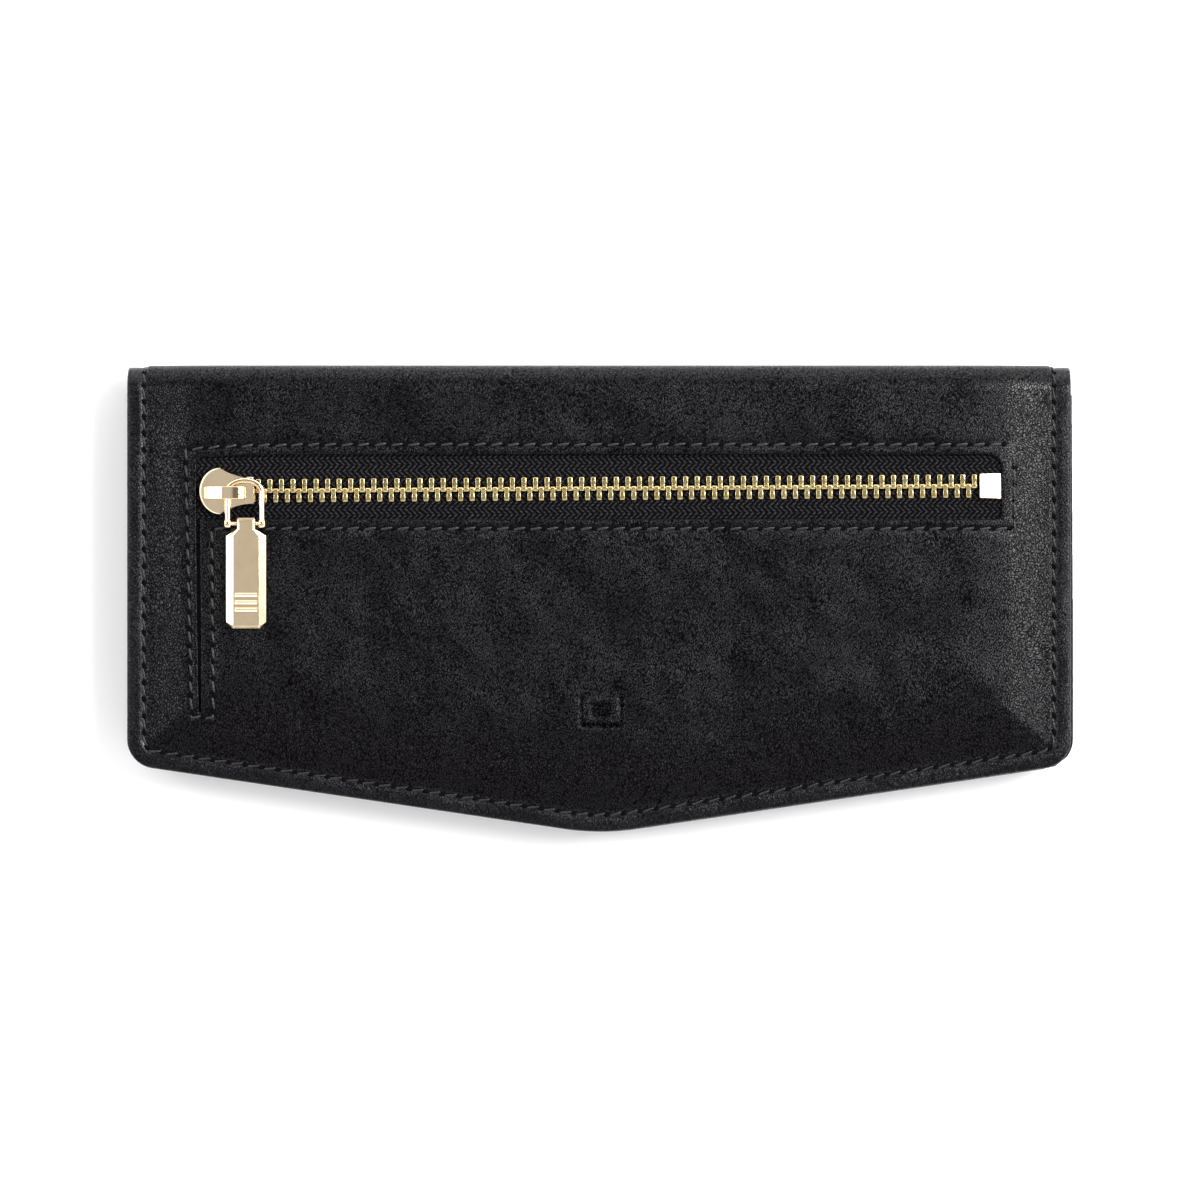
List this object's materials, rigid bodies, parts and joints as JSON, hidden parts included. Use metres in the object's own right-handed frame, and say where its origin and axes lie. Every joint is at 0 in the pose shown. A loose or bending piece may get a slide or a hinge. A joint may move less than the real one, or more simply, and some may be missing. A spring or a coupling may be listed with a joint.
{
  "type": "fold-over zip wallet",
  "caption": "Slim black leather wallet with a pointed fold-over flap, a zip coin pocket on the flap, a gusseted note compartment and stepped card slots.",
  "frame": {"origin": "centre of the back face that the closed wallet lies on", "axes": "+X along the wallet's width, +Y from the flap's point towards the fold, +Z out of the flap's face"},
  "size_m": [0.1946, 0.096, 0.0198],
  "materials": {
    "cover_leather": "fine pebble grain, semi-matte, black",
    "inner_leather": "smooth split leather, matte, black",
    "lining_fabric": "fine twill lining, matte black",
    "pocket_fabric": "thin plain-weave pocket bag, black",
    "stiffener_board": "plain grey-brown board",
    "zip_tape": "woven polyester tape, black",
    "zip_teeth": "bright brass teeth",
    "pull_metal": "polished pale gold plating",
    "snap_metal": "satin antique gold plating"
  },
  "bodies": {
    "wallet_body": {"back_cover": "cover_leather", "back_board": "stiffener_board", "back_lining": "lining_fabric", "gusset": "inner_leather", "card_backing": "inner_leather", "card_tier_1": "inner_leather", "card_tier_2": "inner_leather", "card_tier_3": "inner_leather", "card_tier_4": "inner_leather", "card_front_panel": "inner_leather", "snap_socket": "snap_metal", "snap_magnet": "snap_metal", "snap_socket_washer": "snap_metal"},
    "spine": {"spine_cover": "cover_leather", "spine_lining": "lining_fabric"},
    "flap": {"flap_cover": "cover_leather", "flap_lining": "inner_leather", "snap_stud": "snap_metal", "snap_stud_washer": "snap_metal", "coin_pocket_back": "pocket_fabric", "coin_pocket_front": "pocket_fabric", "zip_bottom_stop": "pull_metal"},
    "zip_side_upper": {"zip_tape_upper": "zip_tape", "zip_teeth_upper": "zip_teeth", "zip_top_stop_upper": "zip_teeth"},
    "zip_side_lower": {"zip_tape_lower": "zip_tape", "zip_teeth_lower": "zip_teeth", "zip_top_stop_lower": "zip_teeth"},
    "slider": {"slider_body": "pull_metal", "slider_bridge": "pull_metal"},
    "link": {"pull_link": "pull_metal", "link_pin": "pull_metal"},
    "tab": {"pull_tab": "pull_metal"}
  },
  "joints": [
    {"name": "back_fold", "type": "hinge", "parent": "wallet_body", "child": "spine", "pos_m": [0, 0.04693, 0.00108], "axis": [-1, 0, 0], "range_deg": [0, 85]},
    {"name": "front_fold", "type": "hinge", "parent": "spine", "child": "flap", "pos_m": [0, 0.04693, 0.01582], "axis": [-1, 0, 0], "range_deg": [0, 85]},
    {"name": "zip_slide", "type": "slide", "parent": "flap", "child": "slider", "axis": [1, 0.0068, 0], "range_m": [0, 0.148], "deforming": ["zip_tape_upper", "zip_teeth_upper", "zip_top_stop_upper", "zip_tape_lower", "zip_teeth_lower", "zip_top_stop_lower"]},
    {"name": "zip_part_upper", "type": "slide", "parent": "flap", "child": "zip_side_upper", "axis": [0, 1, 0], "range_m": [0, 0.0012]},
    {"name": "zip_part_lower", "type": "slide", "parent": "flap", "child": "zip_side_lower", "axis": [0, -1, 0], "range_m": [0, 0.0012]},
    {"name": "link_swivel", "type": "hinge", "parent": "slider", "child": "link", "pos_m": [-0.0729, 0.02185, 0.01812], "axis": [0, 0, 1], "range_deg": [0, 90]},
    {"name": "tab_swing", "type": "hinge", "parent": "link", "child": "tab", "pos_m": [-0.0729, 0.01535, 0.01812], "axis": [-1, 0, 0], "range_deg": [0, 150]}
  ],
  "couplings": [
    {"joint": "front_fold", "follows": "back_fold", "ratio": 1},
    {"joint": "zip_part_upper", "follows": "zip_slide", "ratio": 0.008},
    {"joint": "zip_part_lower", "follows": "zip_slide", "ratio": 0.008}
  ]
}
